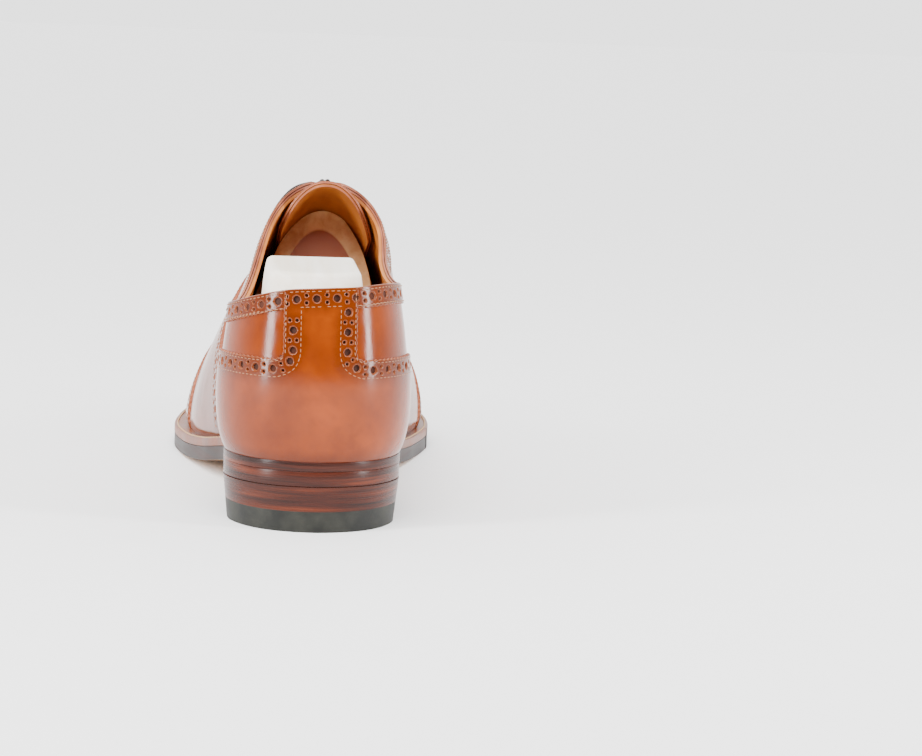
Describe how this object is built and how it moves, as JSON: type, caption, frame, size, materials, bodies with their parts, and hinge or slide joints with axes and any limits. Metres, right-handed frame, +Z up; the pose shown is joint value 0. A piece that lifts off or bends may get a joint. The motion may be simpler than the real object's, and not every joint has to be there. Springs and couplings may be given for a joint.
{
  "type": "leather oxford shoe",
  "caption": "Full-brogue leather oxford shoe for the left foot, with a stitched welt and a stacked heel, laced, on a wooden two-piece shoe tree with a sprung heel block.",
  "frame": {"origin": "on the ground, at the middle of the shoe's length and width", "axes": "+Y from heel to toe, +Z up, +X to the inner (medial) side of the left foot"},
  "size_m": [0.1088, 0.2993, 0.1187],
  "materials": {
    "upper_leather": "polished, waxed to a high gloss, cognac brown",
    "lining_leather": "satin vegetable-tanned calf, tan",
    "stiffening": "matt leather board",
    "insole_leather": "matt shoulder leather",
    "cork": "matt granulated cork",
    "shank_steel": "satin spring steel",
    "welt_leather": "waxed natural leather, stitched",
    "sole_leather": "burnished dark edge",
    "heel_leather": "stacked leather, burnished and waxed",
    "heel_rubber": "matt rubber",
    "heel_nail_brass": "satin brass",
    "eyelet_metal": "dull, blind eyelets",
    "lace": "waxed braided cotton, dark brown",
    "aglet_plastic": "gloss dark brown",
    "tree_wood": "sanded, satin",
    "tree_brass": "polished brass",
    "tree_steel": "bright steel"
  },
  "bodies": {
    "shoe": {"aglet_lateral": "aglet_plastic", "aglet_medial": "aglet_plastic", "collar_strip_lateral": "upper_leather", "collar_strip_medial": "upper_leather", "cork_filler": "cork", "eyelet_facing_lateral": "upper_leather", "eyelet_facing_medial": "upper_leather", "eyelets": "eyelet_metal", "heel_counter": "upper_leather", "heel_lift_lower": "heel_leather", "heel_lift_middle": "heel_leather", "heel_lift_upper": "heel_leather", "heel_nails": "heel_nail_brass", "heel_rand": "welt_leather", "heel_stiffener": "stiffening", "heel_top_piece_leather": "heel_leather", "heel_top_piece_rubber": "heel_rubber", "insole": "insole_leather", "lace_bars": "lace", "lace_end_lateral": "lace", "lace_end_medial": "lace", "lace_knot": "lace", "lace_loop_lateral": "lace", "lace_loop_medial": "lace", "outsole": "sole_leather", "quarter_lateral": "upper_leather", "quarter_lining_lateral": "lining_leather", "quarter_lining_medial": "lining_leather", "quarter_medial": "upper_leather", "sock_liner": "lining_leather", "steel_shank": "shank_steel", "toe_puff": "stiffening", "tongue": "upper_leather", "tongue_lining": "lining_leather", "tree_forepart": "tree_wood", "tree_hinge_pin": "tree_steel", "vamp": "upper_leather", "vamp_lining": "lining_leather", "welt": "welt_leather", "wing_toe_cap": "upper_leather"},
    "tree_link": {"tree_tube": "tree_brass", "tree_tube_eye": "tree_brass", "tree_spring": "tree_steel"},
    "tree_heel": {"tree_heel_block": "tree_wood"}
  },
  "joints": [
    {"name": "tree_link_hinge", "type": "hinge", "parent": "shoe", "child": "tree_link", "pos_m": [-0.005, -0.024, 0.044], "axis": [-1, 0, 0], "range_deg": [0, 18]},
    {"name": "tree_heel_slide", "type": "slide", "parent": "tree_link", "child": "tree_heel", "axis": [0, 1, 0], "range_m": [0, 0.008], "stiffness_N_per_m": 1500, "springref_m": -0.01, "deforming": ["tree_spring"]}
  ]
}
